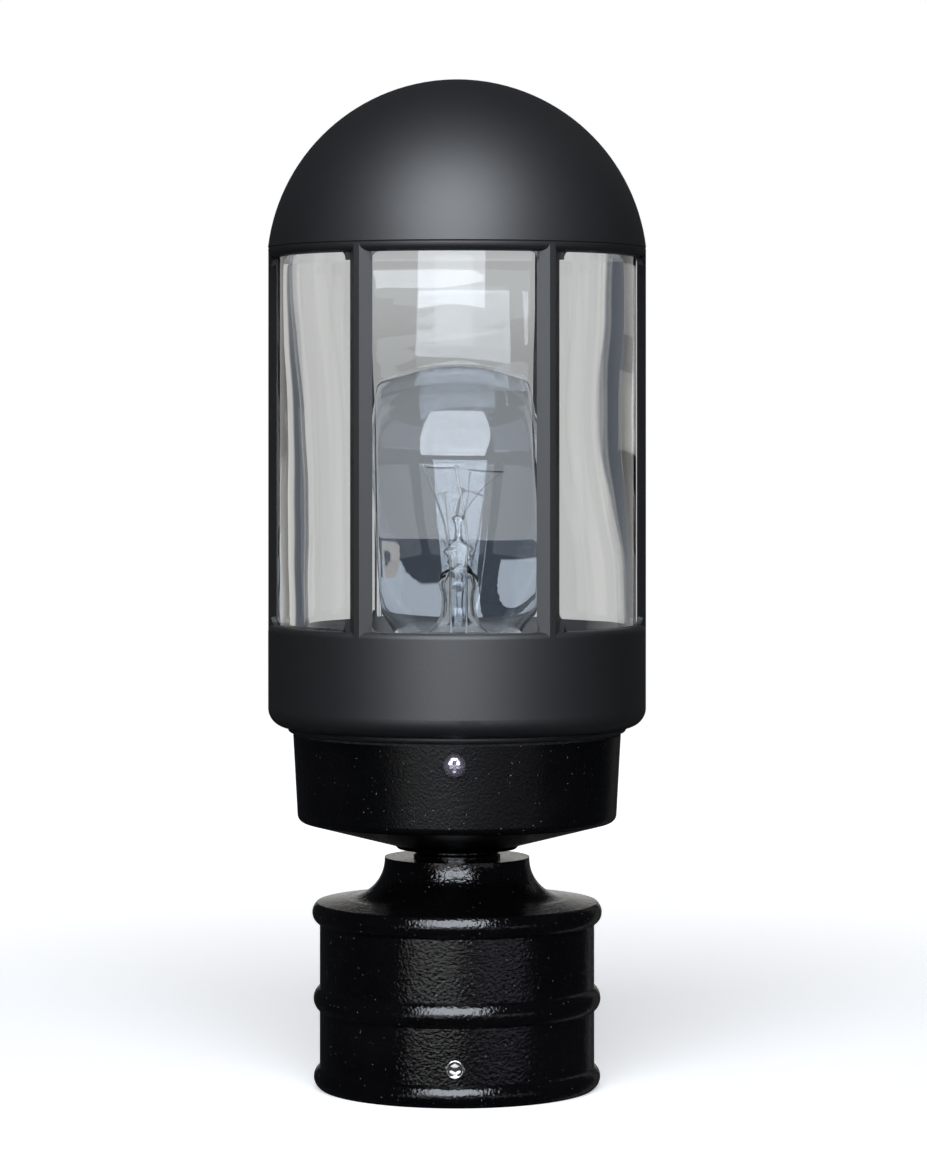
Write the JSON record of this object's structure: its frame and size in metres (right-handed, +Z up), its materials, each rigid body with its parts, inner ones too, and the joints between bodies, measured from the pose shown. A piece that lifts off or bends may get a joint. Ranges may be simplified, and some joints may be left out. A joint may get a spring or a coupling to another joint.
{
  "type": "post top lantern",
  "caption": "Black domed post top lantern with a clear glass cylinder behind a barred cage, on a canopy and a beaded fitter for a 3 in post, with a clear bulb",
  "frame": {"origin": "Centre of the collar's bottom rim, at the mouth of the post socket", "axes": "+Z is up along the lantern's axis; -Y is the front, the side with the front canopy screw and set screw; +X is to the right seen from the front"},
  "size_m": [0.1211, 0.1212, 0.3224],
  "materials": {
    "gloss_black_metal": "gloss black paint with orange peel",
    "satin_black_metal": "satin black powder coat",
    "black_rubber": "matte",
    "zinc_steel": "zinc plated",
    "green_screw": "green coated",
    "cast_aluminium": "turned",
    "white_porcelain": "glazed",
    "aluminium_shell": "bright",
    "brass": "bright",
    "clear_glass": "wavy moulded",
    "bulb_glass": "clear blown",
    "nickel_wire": "drawn wire",
    "tungsten": "coiled wire",
    "nickel_brass": "nickel plated",
    "black_vitrite": "black glass",
    "solder": "tinned",
    "black_chrome_screw": "black chrome",
    "bright_set_screw": "bright plated"
  },
  "bodies": {
    "root": {"post_fitter": "gloss_black_metal", "neck_ring": "gloss_black_metal", "canopy": "gloss_black_metal", "canopy_gasket": "black_rubber", "nipple": "zinc_steel", "lower_locknut": "zinc_steel", "upper_locknut": "zinc_steel", "lower_lock_washer": "zinc_steel", "upper_lock_washer": "zinc_steel", "screw_bracket": "zinc_steel", "ground_screw": "green_screw", "lampholder_screws": "zinc_steel", "lampholder_cap": "cast_aluminium", "lampholder_body": "white_porcelain", "screw_shell": "aluminium_shell", "centre_contact": "brass", "terminal_plates": "brass", "terminal_screws": "brass"},
    "cage": {"cage_frame": "satin_black_metal", "dome_cap": "satin_black_metal", "glass_cylinder": "clear_glass", "lower_glass_gasket": "black_rubber", "upper_glass_gasket": "black_rubber"},
    "bulb": {"bulb_envelope": "bulb_glass", "bulb_stem": "bulb_glass", "lead_wires": "nickel_wire", "support_wires": "nickel_wire", "filament": "tungsten", "bulb_base": "nickel_brass", "bulb_insulator": "black_vitrite", "bulb_contact": "solder"},
    "canopy_screw_1": {"canopy_screw_1": "black_chrome_screw"},
    "set_screw_1": {"set_screw_1": "bright_set_screw"},
    "canopy_screw_2": {"canopy_screw_2": "black_chrome_screw"},
    "set_screw_2": {"set_screw_2": "bright_set_screw"},
    "canopy_screw_3": {"canopy_screw_3": "black_chrome_screw"},
    "set_screw_3": {"set_screw_3": "bright_set_screw"}
  },
  "joints": [
    {"name": "cage_lift", "type": "slide", "parent": "root", "child": "cage", "axis": [0, 0, 1], "range_m": [0, 0.14]},
    {"name": "bulb_unscrew", "type": "slide", "parent": "root", "child": "bulb", "axis": [0, 0, 1], "range_m": [0, 0.026]},
    {"name": "canopy_screw_1_turn_out", "type": "slide", "parent": "root", "child": "canopy_screw_1", "axis": [0, -1, 0], "range_m": [0, 0.008]},
    {"name": "set_screw_1_turn_out", "type": "slide", "parent": "root", "child": "set_screw_1", "axis": [0, -1, 0], "range_m": [-0.0012, 0.006]},
    {"name": "canopy_screw_2_turn_out", "type": "slide", "parent": "root", "child": "canopy_screw_2", "axis": [0.866, 0.5, 0], "range_m": [0, 0.008]},
    {"name": "set_screw_2_turn_out", "type": "slide", "parent": "root", "child": "set_screw_2", "axis": [0.866, 0.5, 0], "range_m": [-0.0012, 0.006]},
    {"name": "canopy_screw_3_turn_out", "type": "slide", "parent": "root", "child": "canopy_screw_3", "axis": [-0.866, 0.5, 0], "range_m": [0, 0.008]},
    {"name": "set_screw_3_turn_out", "type": "slide", "parent": "root", "child": "set_screw_3", "axis": [-0.866, 0.5, 0], "range_m": [-0.0012, 0.006]}
  ]
}
